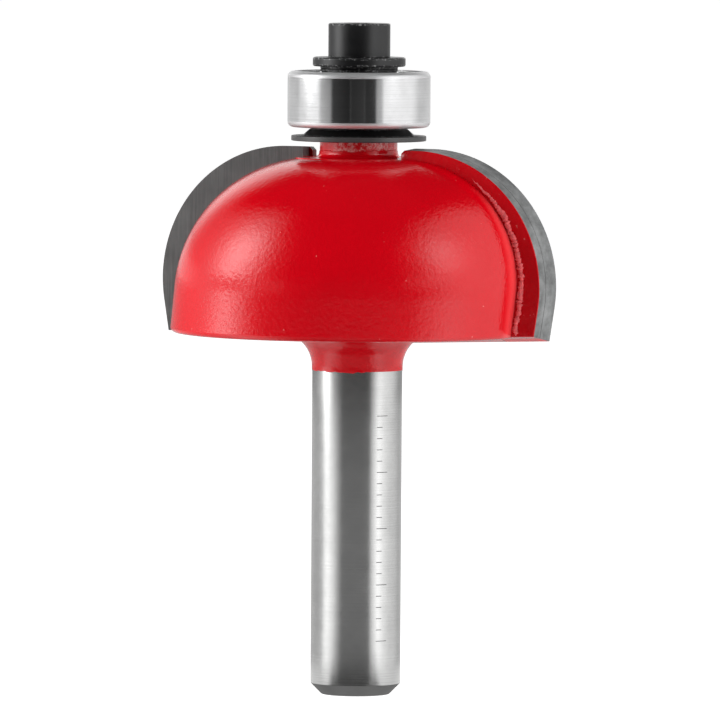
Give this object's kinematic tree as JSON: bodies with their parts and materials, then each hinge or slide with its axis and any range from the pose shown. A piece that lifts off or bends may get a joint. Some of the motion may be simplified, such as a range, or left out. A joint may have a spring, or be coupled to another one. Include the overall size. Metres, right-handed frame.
{
  "type": "router bit",
  "caption": "Router bit for a plunge or table router: opposed wings with brazed cove cutting tips behind anti-kickback lobes, turned shank, and a ball bearing guide held by a cap screw.",
  "frame": {"origin": "centre of the flat end face of the shank, the lowest point of the tool", "axes": "+Z along the turning axis from the shank end to the cap screw; the cutting edges lie in the XZ plane; seen from +Z the tool turns counter-clockwise, so the tip on +X looks towards +Y"},
  "size_m": [0.038, 0.033, 0.0597],
  "materials": {
    "tool_steel_painted": "satin-gloss red enamel over turned tool steel; shank and spigot left bare and ground",
    "ground_steel": "bare ground tool steel of the shank, the spigot and the ground backs of the wings",
    "carbide": "ground cemented carbide, matt dark grey with fine grinding lines",
    "bearing_steel": "hardened bearing steel, ground and polished",
    "cage_steel": "pressed strip steel, plain",
    "shield_steel": "thin pressed steel, plain",
    "dark_washer": "turned steel, dark, brushed round the rim",
    "black_oxide_steel": "black oxide with worn edges"
  },
  "bodies": {
    "cutter": {"body": "tool_steel_painted", "carbide_tip_1": "carbide", "carbide_tip_2": "carbide", "lower_washer": "dark_washer", "bearing_inner_ring": "bearing_steel", "upper_washer": "black_oxide_steel", "cap_screw": "black_oxide_steel"},
    "outer_race": {"bearing_outer_ring": "bearing_steel", "shield_upper": "shield_steel", "shield_lower": "shield_steel", "snap_ring_upper": "shield_steel", "snap_ring_lower": "shield_steel"},
    "cage": {"cage_upper": "cage_steel", "cage_lower": "cage_steel"},
    "ball_1": {"ball_1": "bearing_steel"},
    "ball_2": {"ball_2": "bearing_steel"},
    "ball_3": {"ball_3": "bearing_steel"},
    "ball_4": {"ball_4": "bearing_steel"},
    "ball_5": {"ball_5": "bearing_steel"},
    "ball_6": {"ball_6": "bearing_steel"},
    "ball_7": {"ball_7": "bearing_steel"}
  },
  "joints": [
    {"name": "bearing_spin", "type": "hinge", "parent": "cutter", "child": "outer_race", "pos_m": [0, 0, 0.05297], "axis": [0, 0, 1], "continuous": true},
    {"name": "cage_spin", "type": "hinge", "parent": "cutter", "child": "cage", "pos_m": [0, 0, 0.05297], "axis": [0, 0, 1], "continuous": true},
    {"name": "ball_1_roll", "type": "hinge", "parent": "cage", "child": "ball_1", "pos_m": [0.00437, 0, 0.05297], "axis": [0, 0, 1], "continuous": true},
    {"name": "ball_2_roll", "type": "hinge", "parent": "cage", "child": "ball_2", "pos_m": [0.00272, 0.00341, 0.05297], "axis": [0, 0, 1], "continuous": true},
    {"name": "ball_3_roll", "type": "hinge", "parent": "cage", "child": "ball_3", "pos_m": [-0.00097, 0.00426, 0.05297], "axis": [0, 0, 1], "continuous": true},
    {"name": "ball_4_roll", "type": "hinge", "parent": "cage", "child": "ball_4", "pos_m": [-0.00393, 0.00189, 0.05297], "axis": [0, 0, 1], "continuous": true},
    {"name": "ball_5_roll", "type": "hinge", "parent": "cage", "child": "ball_5", "pos_m": [-0.00393, -0.00189, 0.05297], "axis": [0, 0, 1], "continuous": true},
    {"name": "ball_6_roll", "type": "hinge", "parent": "cage", "child": "ball_6", "pos_m": [-0.00097, -0.00426, 0.05297], "axis": [0, 0, 1], "continuous": true},
    {"name": "ball_7_roll", "type": "hinge", "parent": "cage", "child": "ball_7", "pos_m": [0.00272, -0.00341, 0.05297], "axis": [0, 0, 1], "continuous": true}
  ],
  "couplings": [
    {"joint": "cage_spin", "follows": "bearing_spin", "ratio": 0.63635},
    {"joint": "ball_1_roll", "follows": "bearing_spin", "ratio": 1.6971},
    {"joint": "ball_2_roll", "follows": "bearing_spin", "ratio": 1.6971},
    {"joint": "ball_3_roll", "follows": "bearing_spin", "ratio": 1.6971},
    {"joint": "ball_4_roll", "follows": "bearing_spin", "ratio": 1.6971},
    {"joint": "ball_5_roll", "follows": "bearing_spin", "ratio": 1.6971},
    {"joint": "ball_6_roll", "follows": "bearing_spin", "ratio": 1.6971},
    {"joint": "ball_7_roll", "follows": "bearing_spin", "ratio": 1.6971}
  ]
}
